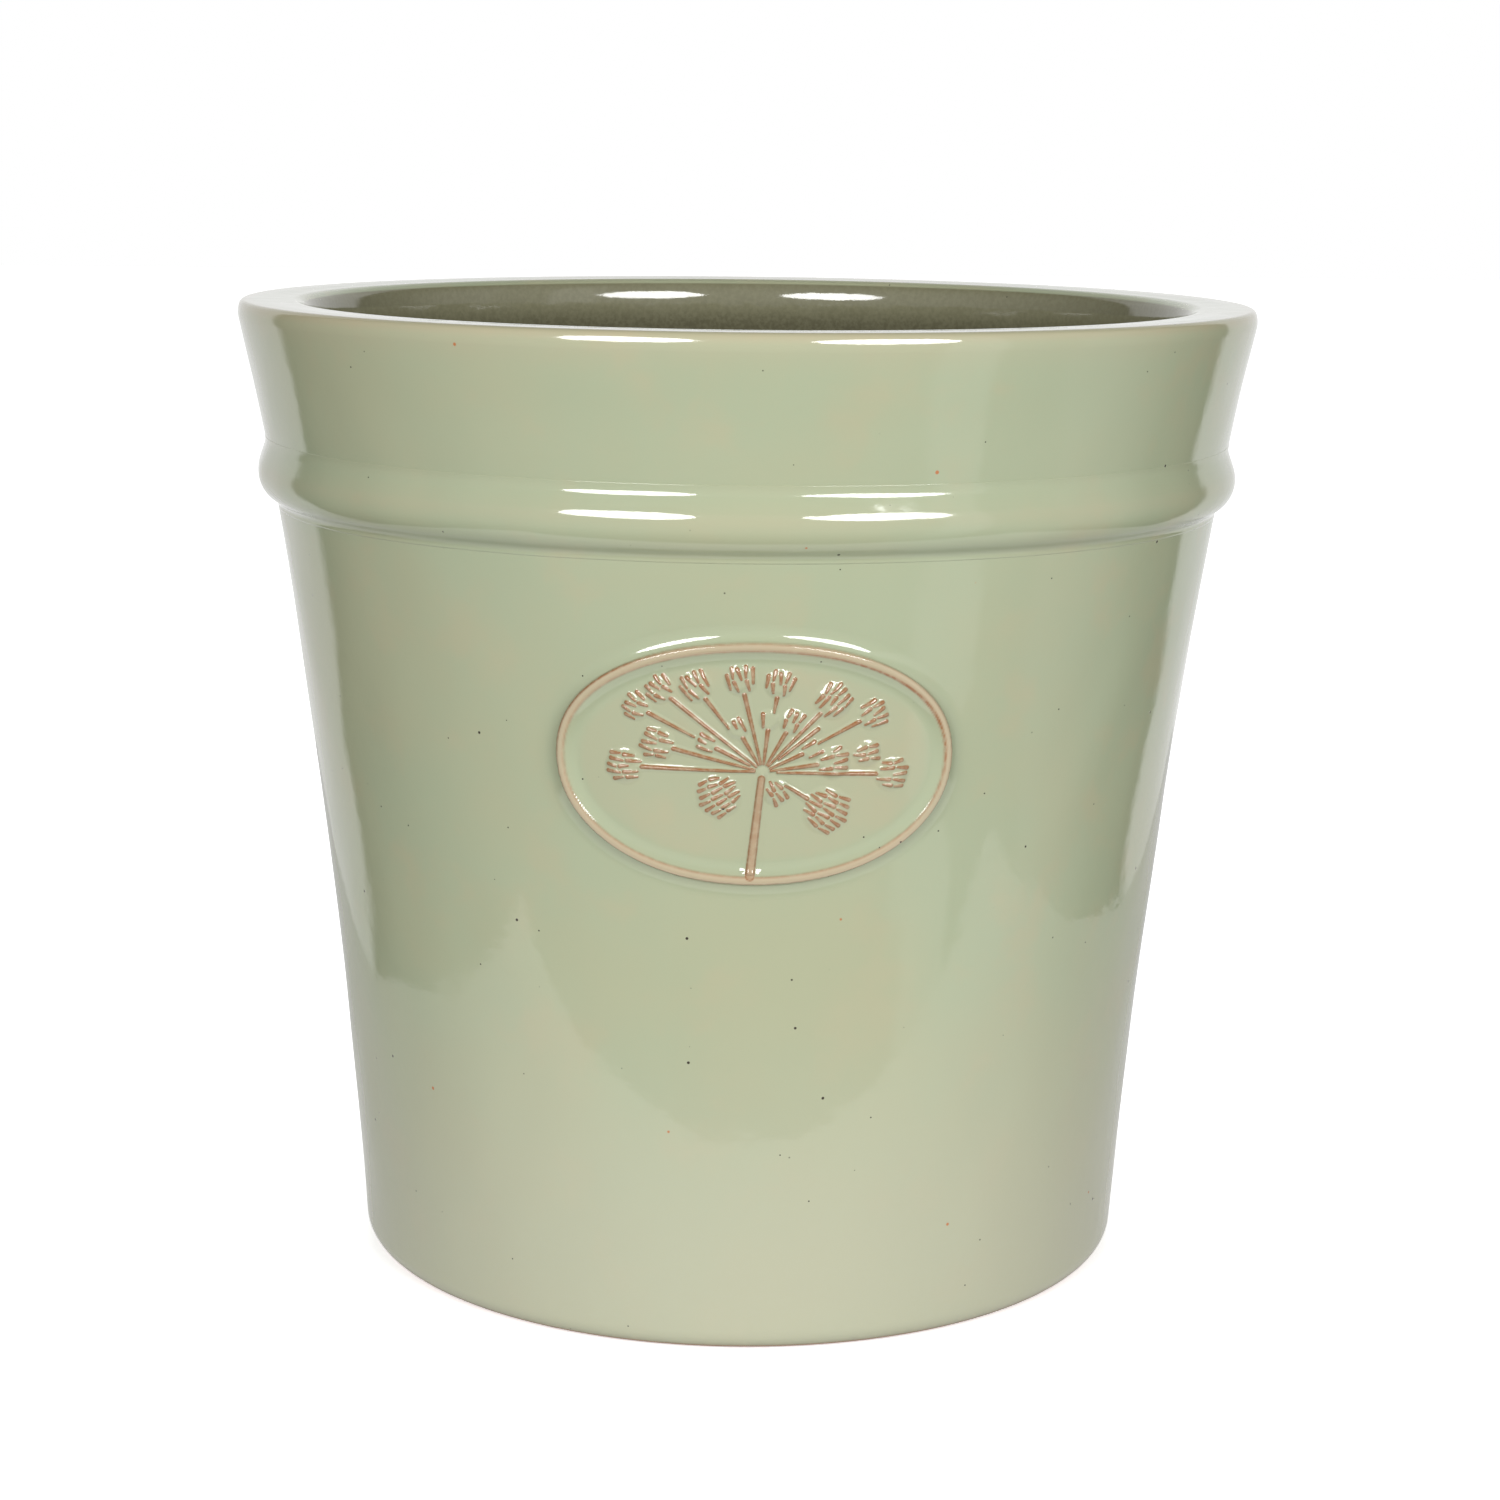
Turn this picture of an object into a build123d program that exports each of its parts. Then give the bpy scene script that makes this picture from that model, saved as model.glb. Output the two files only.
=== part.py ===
from build123d import *
from math import atan2, cos, degrees, hypot, radians, sin, sqrt, tan
import os

# Glazed terracotta plant pot. A thrown, flaring wall stands on a slab base with one
# drainage hole. A rounded band runs round the wall under the collar, and an oval badge
# with an umbel flower in low relief is applied to the front.
# Millimetres, +Z up, origin at the centre of the foot plane, the badge faces -Y.

# ---- driving dimensions: the pot ----
HEIGHT = 361.5
RIM_DIAMETER = 380.0
FOOT_DIAMETER = 292.0
BAND_LINE_Z = 298.0          # height of the bead's crest, where body and collar meet
BAND_LINE_RADIUS = 178.7     # wall radius at that height
WALL_HOLLOW = 3.5            # how far the body's outline bows in from a straight line
COLLAR_HOLLOW = 0.3          # the same for the collar
RIM_FLARE = radians(10.8)    # the collar's lean outwards at the rim

# ---- driving dimensions: rim, foot and inside ----
LIP_OUTER_ROUND = 3.0
LIP_INNER_ROUND = 5.5
LIP_INNER_RADIUS = 164.5
FOOT_ROUND = 9.0
SEAT_ROUND = 2.0
SEAT_RADIUS = 128.0          # the base slab sits in the wall to this radius
SEAT_TOP = 36.0
THROAT_Z = 298.0
THROAT_RADIUS = 161.5
INSIDE_HOLLOW = 2.4

# ---- driving dimensions: base slab ----
BASE_RECESS = 5.0            # the slab's underside stands this far off the floor
BASE_TOP = 24.0
COVE_RADIUS = 12.0           # smoothed clay between floor and wall
DRAIN_RADIUS = 15.0
DRAIN_ROUND = 2.5

# ---- driving dimensions: band ----
BAND_BOTTOM = 288.0
BAND_TOP = 310.0
BAND_PROUD = 5.2
SHOULDER_Z = 304.0
SHOULDER_RADIUS = 182.3

# ---- driving dimensions: badge ----
BADGE_Z = 217.0
BADGE_HALF_WIDTH = 66.7
BADGE_HALF_HEIGHT = 42.0
BORDER_WIDTH = 2.6
FIELD_PROUD = 1.5
BORDER_PROUD = 3.2
RAY_PROUD = 2.5
FLORET_PROUD = 2.7
STEM_PROUD = 3.0

# ---- driving dimensions: the flower, across and up from the badge's centre ----
HUB = (2.5, -2.5)
STEM_TOP = (2.15, -4.9)
STEM_FOOT = (-1.4, -38.9)
STEM_TOP_WIDTH = 2.2
STEM_FOOT_WIDTH = 3.0
RAY_START_WIDTH = 0.5
RAY_END_WIDTH = 1.1
FLORET_WIDTH = 1.1
FLORET_LENGTH = 4.7          # with the gap to the next one
FLORET_GAP = 1.4
FLORET_PITCH = 2.05          # from row to row
FLORET_FANNING = 0.16
FLORET_STAGGER = 0.6
FLORET_LEAN = 0.28
CLEARANCE = 0.2
# Each umbellet: bearing in degrees, where its stalk starts and ends out from the hub,
# and the radius of its head of florets. Equal start and end means no stalk shows.
UMBELLETS = [
    (179.0, 2.8, 41.0, 6.2),
    (166.0, 2.8, 31.0, 5.8),
    (153.0, 5.0, 17.5, 3.7),
    (153.0, 26.0, 43.0, 4.7),
    (141.0, 2.8, 39.5, 4.8),
    (127.5, 19.0, 31.5, 5.4),
    (120.0, 2.8, 13.5, 3.7),
    (103.5, 2.8, 27.5, 5.2),
    (84.0, 2.8, 14.5, 3.6),
    (80.5, 21.0, 26.0, 4.9),
    (61.0, 2.8, 15.5, 4.4),
    (47.0, 2.8, 27.5, 6.2),
    (39.0, 7.0, 23.5, 0.0),
    (28.0, 21.0, 36.5, 5.2),
    (25.0, 2.8, 14.5, 3.6),
    (9.5, 31.5, 31.5, 4.6),
    (7.5, 2.8, 18.5, 5.6),
    (-2.0, 5.0, 39.0, 5.8),
    (-31.5, 9.0, 18.0, 8.0),
    (-56.0, 4.2, 4.2, 4.5),
    (210.0, 9.5, 9.5, 7.4),
]

BADGE_ARC = 54.0             # degrees of wall that carry the badge
BADGE_PLANE_Y = -110.0       # the badge's outlines are drawn here, inside the pot
BADGE_REACH = 100.0


class Hollow:
    """A circular outline from one (radius, z) point to another, bowed towards the axis."""

    def __init__(self, start, end, bow):
        chord = hypot(end[0] - start[0], end[1] - start[1])
        self.radius = chord**2 / (8 * bow) + bow / 2
        out = ((end[1] - start[1]) / chord, (start[0] - end[0]) / chord)
        reach = self.radius - bow
        self.centre = (
            (start[0] + end[0]) / 2 + out[0] * reach,
            (start[1] + end[1]) / 2 + out[1] * reach,
        )

    def point(self, z, proud=0.0):
        """The (radius, z) point at height z, on a surface standing proud of this one."""
        rise = z - self.centre[1]
        return (self.centre[0] - sqrt((self.radius - proud) ** 2 - rise**2), z)

    def arc(self, z_from, z_to, proud=0.0):
        middle = (z_from + z_to) / 2
        return ThreePointArc(
            self.point(z_from, proud), self.point(middle, proud), self.point(z_to, proud)
        )


rim_radius = RIM_DIAMETER / 2
# The sharp corner that, once rounded, leaves the rim at its full radius.
rim_corner = rim_radius + LIP_OUTER_ROUND * (1 / cos(RIM_FLARE) - 1 + tan(RIM_FLARE))
body = Hollow((FOOT_DIAMETER / 2, 0), (BAND_LINE_RADIUS, BAND_LINE_Z), WALL_HOLLOW)
collar = Hollow((BAND_LINE_RADIUS, BAND_LINE_Z), (rim_corner, HEIGHT), COLLAR_HOLLOW)
inside = Hollow((SEAT_RADIUS, SEAT_TOP), (THROAT_RADIUS, THROAT_Z), INSIDE_HOLLOW)


def turned(*edges):
    """Revolve a closed (radius, z) outline about the pot's axis."""
    return revolve(Plane.XZ * make_face(edges), Axis.Z)


def rounded(face, corner, radius):
    """Round the corner of a flat face that lies nearest to a point."""
    return fillet(face.vertices().sort_by_distance(corner)[0], radius)


def pot_wall():
    """The thrown wall, from foot ring to lip, open at both ends."""
    seat_foot = (SEAT_RADIUS, 0)
    lip_inner = (LIP_INNER_RADIUS, HEIGHT)
    outline = make_face(
        [
            Line(seat_foot, (FOOT_DIAMETER / 2, 0)),
            body.arc(0, BAND_LINE_Z),
            collar.arc(BAND_LINE_Z, HEIGHT),
            Line((rim_corner, HEIGHT), lip_inner),
            Line(lip_inner, (THROAT_RADIUS, THROAT_Z)),
            inside.arc(THROAT_Z, SEAT_TOP),
            Line((SEAT_RADIUS, SEAT_TOP), seat_foot),
        ]
    )
    outline = rounded(outline, (FOOT_DIAMETER / 2, 0), FOOT_ROUND)
    outline = rounded(outline, (rim_corner, HEIGHT), LIP_OUTER_ROUND)
    outline = rounded(outline, lip_inner, LIP_INNER_ROUND)
    outline = rounded(outline, seat_foot, SEAT_ROUND)
    return revolve(Plane.XZ * outline, Axis.Z)


def pot_base():
    """The base slab with its drainage hole and the cove that runs up to the wall."""
    cove_foot = (SEAT_RADIUS - COVE_RADIUS, BASE_TOP)
    cove_top = (SEAT_RADIUS, SEAT_TOP)
    reach = COVE_RADIUS * (1 - cos(radians(45)))
    cove_middle = (SEAT_RADIUS - reach, BASE_TOP + reach)
    outline = make_face(
        [
            Line((DRAIN_RADIUS, BASE_RECESS), (SEAT_RADIUS, BASE_RECESS)),
            Line((SEAT_RADIUS, BASE_RECESS), cove_top),
            ThreePointArc(cove_top, cove_middle, cove_foot),
            Line(cove_foot, (DRAIN_RADIUS, BASE_TOP)),
            Line((DRAIN_RADIUS, BASE_TOP), (DRAIN_RADIUS, BASE_RECESS)),
        ]
    )
    outline = rounded(outline, (DRAIN_RADIUS, BASE_TOP), DRAIN_ROUND)
    return revolve(Plane.XZ * outline, Axis.Z)


def wall_band():
    """The rounded bead: a crisp step below, a crest, and a soft concave top."""
    crest = (BAND_LINE_RADIUS + BAND_PROUD, BAND_LINE_Z)
    shoulder = (SHOULDER_RADIUS, SHOULDER_Z)
    bottom = body.point(BAND_BOTTOM)
    top = collar.point(BAND_TOP)
    belly = TangentArc(crest, bottom, tangent=(0, -1))
    crown = TangentArc(crest, shoulder, tangent=(0, 1))
    sweep_up = TangentArc(shoulder, top, tangent=crown % 1)
    return turned(
        belly,
        crown,
        sweep_up,
        collar.arc(BAND_TOP, BAND_LINE_Z),
        body.arc(BAND_LINE_Z, BAND_BOTTOM),
    )


def badge_skin(proud_from, proud_to):
    """A patch of the wall's front between two surfaces that stand proud of it."""
    low = BADGE_Z - BADGE_HALF_HEIGHT - BORDER_WIDTH
    high = BADGE_Z + BADGE_HALF_HEIGHT + BORDER_WIDTH
    face = make_face(
        [
            body.arc(low, high, proud_from),
            Line(body.point(high, proud_from), body.point(high, proud_to)),
            body.arc(high, low, proud_to),
            Line(body.point(low, proud_to), body.point(low, proud_from)),
        ]
    )
    start = Rotation(0, 0, -90 - BADGE_ARC / 2)
    return start * revolve(Plane.XZ * face, Axis.Z, BADGE_ARC)


def badge_prism(sketch):
    """Push an outline, drawn across and up from the badge's centre, out to the front."""
    plane = Plane(origin=(0, BADGE_PLANE_Y, BADGE_Z), x_dir=(1, 0, 0), z_dir=(0, -1, 0))
    return extrude(plane * sketch, BADGE_REACH)


def badge_oval(inset=0.0):
    return Ellipse(BADGE_HALF_WIDTH - inset, BADGE_HALF_HEIGHT - inset)


def badge_plaque():
    """The badge's thin oval field, curved to the wall."""
    return badge_skin(0, FIELD_PROUD) & badge_prism(badge_oval(BORDER_WIDTH))


def badge_border():
    """The raised bead round the badge."""
    ring = badge_oval() - badge_oval(BORDER_WIDTH)
    return badge_skin(0, BORDER_PROUD) & badge_prism(ring)


def taper(start, end, start_width, end_width):
    """A straight tapered strip between two points."""
    length = hypot(end[0] - start[0], end[1] - start[1])
    side = ((start[1] - end[1]) / length / 2, (end[0] - start[0]) / length / 2)
    corners = [
        (start[0] + side[0] * start_width, start[1] + side[1] * start_width),
        (end[0] + side[0] * end_width, end[1] + side[1] * end_width),
        (end[0] - side[0] * end_width, end[1] - side[1] * end_width),
        (start[0] - side[0] * start_width, start[1] - side[1] * start_width),
    ]
    return make_face(Polyline(*corners, close=True))


def umbel_stem():
    """The flower's stem, from under the hub down to the border."""
    strip = taper(STEM_TOP, STEM_FOOT, STEM_TOP_WIDTH, STEM_FOOT_WIDTH)
    return badge_skin(FIELD_PROUD, STEM_PROUD) & badge_prism(strip)


def out_from(point, bearing, distance):
    angle = radians(bearing)
    return (point[0] + distance * cos(angle), point[1] + distance * sin(angle))


def stalks():
    """Every stalk that shows, as its two ends."""
    ends = []
    for bearing, start, end, _ in UMBELLETS:
        if end > start:
            ends.append((out_from(HUB, bearing, start), out_from(HUB, bearing, end)))
    return ends


def umbel_rays():
    """The stalks that spread from the hub, each a solid of its own."""
    skin = badge_skin(FIELD_PROUD, RAY_PROUD)
    strips = []
    for start, end in stalks():
        strips.append(taper(start, end, RAY_START_WIDTH, RAY_END_WIDTH))
    return [skin & badge_prism(strip) for strip in strips]


def head_point(umbellet, along, across):
    """A point of a head, along its stalk's bearing and across it from the head's centre."""
    bearing, _, end, size = umbellet
    centre = out_from(HUB, bearing, end + size)
    spread = across * (1 + FLORET_FANNING * along / size)
    return out_from(out_from(centre, bearing, along), bearing + 90, spread)


def head(umbellet):
    """One head's florets, as their two ends: staggered rows of them that fill a circle."""
    size = umbellet[3]
    row_count = int((size - FLORET_WIDTH / 2) / FLORET_PITCH)
    ends = []
    for row in range(-row_count, row_count + 1):
        across = row * FLORET_PITCH
        half = sqrt(size**2 - across**2)
        count = max(1, round(2 * half / FLORET_LENGTH))
        step = 2 * half / count
        shift = FLORET_STAGGER * sin(2.1 * row + size)
        for index in range(count):
            lean = FLORET_LEAN * sin(2.4 * index + 3 * row + size)
            start = -half + shift + step * index + FLORET_GAP / 2
            end = start + step - FLORET_GAP
            near = head_point(umbellet, start, across - lean)
            far = head_point(umbellet, end, across + lean)
            ends.append((near, far))
    return ends


def point_gap(point, segment):
    """How far a point is from a segment."""
    start, end = segment
    run = (end[0] - start[0], end[1] - start[1])
    along = (point[0] - start[0]) * run[0] + (point[1] - start[1]) * run[1]
    share = min(1.0, max(0.0, along / (run[0] ** 2 + run[1] ** 2)))
    return hypot(point[0] - start[0] - share * run[0], point[1] - start[1] - share * run[1])


def segment_gap(first, second):
    """How far apart two segments are, by points along each of them."""
    gaps = []
    for mine, other in ((first, second), (second, first)):
        for share in (0.0, 0.25, 0.5, 0.75, 1.0):
            x = mine[0][0] + share * (mine[1][0] - mine[0][0])
            y = mine[0][1] + share * (mine[1][1] - mine[0][1])
            gaps.append(point_gap((x, y), other))
    return min(gaps)


def florets():
    """Every floret that has room beside the stalks, the stem and the other florets."""
    taken = stalks() + [(STEM_TOP, STEM_FOOT)]
    stem_count = len(taken)
    for umbellet in UMBELLETS:
        if umbellet[3] == 0:
            continue
        for floret in head(umbellet):
            if min(segment_gap(floret, other) for other in taken) > FLORET_WIDTH + CLEARANCE:
                taken.append(floret)
    return taken[stem_count:]


def umbel_florets():
    """The flower heads: small leaf-shaped ridges, each a solid of its own."""
    skin = badge_skin(FIELD_PROUD, FLORET_PROUD)
    solids = []
    for start, end in florets():
        middle = ((start[0] + end[0]) / 2, (start[1] + end[1]) / 2)
        half_length = hypot(end[0] - start[0], end[1] - start[1]) / 2
        turn = degrees(atan2(end[1] - start[1], end[0] - start[0]))
        leaf = Pos(*middle) * Rot(0, 0, turn) * Ellipse(half_length, FLORET_WIDTH / 2)
        solids.append(skin & badge_prism(leaf))
    return solids


def write(name, shape):
    if isinstance(shape, list):
        solids = [solid for part in shape for solid in part.solids()]
        shape = Compound(children=solids)
    export_step(shape, f"parts/{name}.step")


os.makedirs("parts", exist_ok=True)
for make in (
    pot_wall,
    pot_base,
    wall_band,
    badge_plaque,
    badge_border,
    umbel_stem,
    umbel_rays,
    umbel_florets,
):
    write(make.__name__, make())
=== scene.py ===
from math import cos, hypot, pi, radians, sin, sqrt, tan

import bpy
import numpy as np
from mathutils import Matrix, Vector


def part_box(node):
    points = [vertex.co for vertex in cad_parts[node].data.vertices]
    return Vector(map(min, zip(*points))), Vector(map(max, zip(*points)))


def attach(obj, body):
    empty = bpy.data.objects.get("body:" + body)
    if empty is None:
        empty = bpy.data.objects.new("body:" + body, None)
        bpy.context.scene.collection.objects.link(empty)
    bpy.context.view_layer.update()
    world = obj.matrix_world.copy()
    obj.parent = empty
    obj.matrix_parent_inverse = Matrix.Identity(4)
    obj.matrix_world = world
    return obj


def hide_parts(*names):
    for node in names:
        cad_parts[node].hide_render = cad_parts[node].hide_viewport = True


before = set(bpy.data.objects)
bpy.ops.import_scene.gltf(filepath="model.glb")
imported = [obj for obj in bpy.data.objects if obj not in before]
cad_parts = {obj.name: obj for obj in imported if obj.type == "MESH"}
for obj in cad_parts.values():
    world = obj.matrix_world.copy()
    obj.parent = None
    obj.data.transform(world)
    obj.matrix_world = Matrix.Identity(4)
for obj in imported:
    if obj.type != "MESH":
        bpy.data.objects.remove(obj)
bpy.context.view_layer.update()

# A glazed terracotta plant pot. Sizes and heights are in millimetres and become metres
# when a mesh is made. An outline is a closed loop of (radius, z) rows, turned about Z.
MM = 0.001

# ---- the pot's outline, as in the CAD model ----
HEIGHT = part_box("pot_wall")[1].z / MM
RIM_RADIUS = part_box("pot_wall")[1].x / MM
FOOT_RADIUS = 146.0
BAND_LINE_Z = 298.0
BAND_LINE_RADIUS = 178.7
WALL_HOLLOW = 3.5            # how far the outline bows in from a straight line
COLLAR_HOLLOW = 0.3
RIM_FLARE = radians(10.8)
FOOT_SLOPE = radians(3.6)
LIP_OUTER_ROUND = 3.0        # the CAD model's round, which sets where the collar would meet the top
LIP_SHOULDER_ROUND = 10.0    # the soft shoulder under the lip's outer edge
LIP_EDGE_ROUND = 2.2
LIP_EDGE_FROM = 18.0         # degrees
LIP_INNER_ROUND = 5.5
LIP_INNER_FROM = 14.0        # degrees
LIP_CROWN = 0.35
FOOT_ROUND = 9.0
SEAT_RADIUS = 128.0          # the base slab sits in the wall up to here
SEAT_TOP = 30.0
SEAT_ROUND = 2.0
WALL_THICKNESS = 17.5
LIP_EXTRA = 9.0              # how much thicker the wall grows towards the lip
FOOT_EXTRA = 3.0             # and towards the foot
SPLAY_Z = 352.5              # above this the inside opens out towards the lip
SPLAY_ROUND = 23.2
FINE_INSIDE_Z = 335.0        # above this the inside's rows are close together
AROUND = 400                 # facets round the pot

# ---- the base slab ----
BASE_TOP = 24.0
BASE_UNDER = 5.0
COVE = 14.0
DRAIN_RADIUS = 15.0
DRAIN_ROUND = 2.5
DRAIN_UNDER_ROUND = 2.0
DISH = 0.5                   # the floor is this much lower at the hole
THROWING_RING = 0.1
THROWING_PITCH = 11.0
TRIMMING_RING = 0.18
TRIMMING_PITCH = 15.0

# ---- the band ----
BAND_FOOT_Z = 285.5
BAND_CREASE_Z = 289.4
BAND_CREST_Z = 298.4
BAND_TOP_Z = 311.8
BAND_CREST_RADIUS = 183.9
BAND_UNDER_ROUND = 11.3
BAND_UPPER_ROUND = 14.0
BAND_FILLET = 8.0
BAND_SHOULDER = radians(19.5)

# ---- the badge, across (along the wall) and up from its centre ----
BADGE_Z = 217.0
BADGE_WRAP_RADIUS = 170.0    # lengths across the badge become angles at this radius
BADGE_HALF_WIDTH = 67.2      # to the middle of the border
BADGE_HALF_HEIGHT = 40.7
BADGE_SQUARENESS = 2.1
BORDER_HALF = 1.3
BORDER_CREST = 3.5
BORDER_SHOULDER = 3.0        # the border's height at its own two edges
FIELD_PROUD = 1.0            # the badge's field stands this far off the wall
INNER_FILLET_START = -6.4    # from the middle of the border; negative is towards the badge's centre
INNER_FILLET_ROUND = 6.0
INNER_FILLET_SLOPE = 0.62
OUTER_FILLET_END = 8.1
OUTER_FILLET_RISE = 3.53     # the fillet's height at the middle of the border, if it went on
OUTER_FILLET_POWER = 2.6
FEATHER = 0.03               # the badge's and band's thin edges stand this far off the wall
BADGE_PIECES = {
    "plaque": "badge_plaque_glazed",
    "border": "badge_border_glazed",
    "stem": "umbel_stem_glazed",
    "rays": "umbel_rays_glazed",
    "florets": "umbel_florets_glazed",
}

# ---- the flower, laid out as in the CAD model ----
HUB = (2.5, -2.5)
HUB_RISE = 0.45
STEM_TOP = (2.15, -4.9)
STEM_FOOT = (-1.4, -38.9)
STEM_TOP_WIDTH = 2.4
STEM_FOOT_WIDTH = 3.2
RAY_START_WIDTH = 0.8
RAY_END_WIDTH = 1.5
FLORET_WIDTH = 1.1
FLORET_LENGTH = 4.7          # with the gap to the next one
FLORET_GAP = 1.4
FLORET_PITCH = 2.05          # from row to row
FLORET_FANNING = 0.16
FLORET_STAGGER = 0.6
FLORET_LEAN = 0.28
CLEARANCE = 0.2
STEM_RISE = 1.1
RAY_RISE = 0.6
FLORET_RISE = 0.36
MOUND_SHARE = 0.22           # each head stands on a low mound of clay, this high for its radius
MOUND_RADIUS_MOST = 6.0      # heads larger than this have the same mound
STALK_GLAZE = 0.34           # height of the glaze gathered along a stalk's foot
FLORET_GLAZE = 0.14
RIDGE_CROWN = 0.12           # a ridge's top falls by this share towards its edge
RIDGE_FOOT = 1.15            # where a ridge ends, in half widths from its middle
GLAZE_REACH = 2.4            # where the glaze beside it ends
STEM_SHOULDER = 0.55         # where a ridge's flat top ends
RAY_SHOULDER = 0.3
FLORET_SHOULDER = 0.55
# Bearing in degrees, where the stalk starts and ends out from the hub, head radius.
UMBELLETS = [
    (179.0, 2.8, 41.0, 6.2),
    (166.0, 2.8, 31.0, 5.8),
    (153.0, 5.0, 17.5, 3.7),
    (153.0, 26.0, 43.0, 4.7),
    (141.0, 2.8, 39.5, 4.8),
    (127.5, 19.0, 31.5, 5.4),
    (120.0, 2.8, 13.5, 3.7),
    (103.5, 2.8, 27.5, 5.2),
    (84.0, 2.8, 14.5, 3.6),
    (80.5, 21.0, 26.0, 4.9),
    (61.0, 2.8, 15.5, 4.4),
    (47.0, 2.8, 27.5, 6.2),
    (39.0, 7.0, 23.5, 0.0),
    (28.0, 21.0, 36.5, 5.2),
    (25.0, 2.8, 14.5, 3.6),
    (9.5, 31.5, 31.5, 4.6),
    (7.5, 2.8, 18.5, 5.6),
    (-2.0, 5.0, 39.0, 5.8),
    (-31.5, 9.0, 18.0, 8.0),
    (-56.0, 4.2, 4.2, 4.5),
    (210.0, 9.5, 9.5, 7.4),
]

# ---- colours (linear) ----
SAGE = (0.316, 0.331, 0.214)
SAGE_GREEN = (0.298, 0.334, 0.220)
SAGE_WARM = (0.333, 0.328, 0.212)
BUFF = (0.385, 0.312, 0.206)
BROWN = (0.23, 0.080, 0.022)
# Painted light and reflection from the white table: the glaze is paler and greyer towards the foot.
SAGE_TABLE_LIGHT = (0.345, 0.341, 0.252)
INSIDE = (0.155, 0.150, 0.092)
# Painted shade: the inside is darkest just under the lip, where the mouth is in shade.
INSIDE_PAINTED_SHADE = (0.070, 0.066, 0.040)
INSIDE_LOW = (0.20, 0.19, 0.125)
PINHOLE = (0.03, 0.022, 0.014)
CLAY = (0.50, 0.21, 0.10)
RUST = (0.36, 0.13, 0.045)

# ---- where the colour changes, as heights in metres: from, to; painted light at the foot, painted shade in the mouth ----
# Painted light from the white table, fading out up the wall.
TABLE_LIGHT_FOOT = (0.01, 0.15)
# Painted shade inside: darkest at 0.338 to 0.340 m, lighter towards the lip and lower down.
SHADE_TO_INSIDE = (0.340, 0.354)
LOW_TO_SHADE = (0.2, 0.338)


# ---------------------------------------------------------------- small helpers

def smooth(edge_from, edge_to, value):
    """0 before edge_from, 1 after edge_to, with a smooth step between."""
    share = np.clip((value - edge_from) / (edge_to - edge_from), 0.0, 1.0)
    return share * share * (3 - 2 * share)


def bump(centre, half_width, value):
    """1 at the centre, falling smoothly to 0 half a width away on either side."""
    return 1 - smooth(0.0, half_width, np.abs(value - centre))


def bowed(start, end, bow):
    """The radius, as a function of z, of a circular outline bowed towards the axis."""
    chord = hypot(end[0] - start[0], end[1] - start[1])
    radius = chord**2 / (8 * bow) + bow / 2
    reach = radius - bow
    middle_r = (start[0] + end[0]) / 2 + (end[1] - start[1]) / chord * reach
    middle_z = (start[1] + end[1]) / 2 + (start[0] - end[0]) / chord * reach
    return lambda z: middle_r - np.sqrt(radius**2 - (z - middle_z) ** 2)


RIM_CORNER = RIM_RADIUS + LIP_OUTER_ROUND * (1 / cos(RIM_FLARE) - 1 + tan(RIM_FLARE))
body_radius = bowed((FOOT_RADIUS, 0), (BAND_LINE_RADIUS, BAND_LINE_Z), WALL_HOLLOW)
collar_radius = bowed((BAND_LINE_RADIUS, BAND_LINE_Z), (RIM_CORNER, HEIGHT), COLLAR_HOLLOW)


def wall_radius(z):
    """The wall's outer radius, without the band."""
    z = np.asarray(z, float)
    return np.where(z < BAND_LINE_Z, body_radius(z), collar_radius(z))


def inside_radius(z):
    """The wall's inner radius: thicker at the foot and at the lip."""
    lip = LIP_EXTRA * smooth(300.0, HEIGHT + 12.0, z)
    splay = np.maximum(z - SPLAY_Z, 0) ** 2 / (2 * SPLAY_ROUND)
    foot = FOOT_EXTRA * (1 - smooth(20.0, 140.0, z))
    return wall_radius(z) - WALL_THICKNESS - lip - foot + splay


def make_waves():
    """Shallow waves of a hand-finished wall: rows of (turns, rise, phase, height)."""
    rng = np.random.default_rng(11)
    waves = [(2, 0.0, 0.6, 0.16), (3, 0.004, 2.1, 0.08)]
    for _ in range(16):
        turns = int(rng.integers(4, 34))
        rise = 2 * pi / rng.uniform(45, 220) * rng.choice([-1, 1])
        steepness = hypot(turns / BADGE_WRAP_RADIUS, rise)
        waves.append((turns, rise, rng.uniform(0, 2 * pi), 0.0038 / steepness))
    return waves


WAVES = make_waves()


def unevenness(angle, z):
    """How far the glazed wall stands off its true outline, fading out at rim and foot."""
    total = 0.0
    for turns, rise, phase, height in WAVES:
        total = total + height * np.sin(turns * angle + rise * z + phase)
    fade = smooth(0.0, 30.0, z) * (1 - smooth(HEIGHT - 30.0, HEIGHT - 4.0, z))
    return total * fade


# ---------------------------------------------------------------- meshes

def mesh_object(name, points, faces, normals=None, attributes=None):
    """A smooth-shaded mesh from millimetre points, with optional per-point attributes."""
    mesh = bpy.data.meshes.new(name)
    mesh.from_pydata((points * MM).tolist(), [], faces.tolist())
    mesh.polygons.foreach_set("use_smooth", np.ones(len(faces), bool))
    for key, values in (attributes or {}).items():
        layer = mesh.attributes.new(key, "FLOAT", "POINT")
        layer.data.foreach_set("value", np.asarray(values, np.float32))
    if normals is not None:
        mesh.normals_split_custom_set_from_vertices(normals.tolist())
    mesh.update()
    piece = bpy.data.objects.new(name, mesh)
    bpy.context.scene.collection.objects.link(piece)
    return piece


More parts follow.
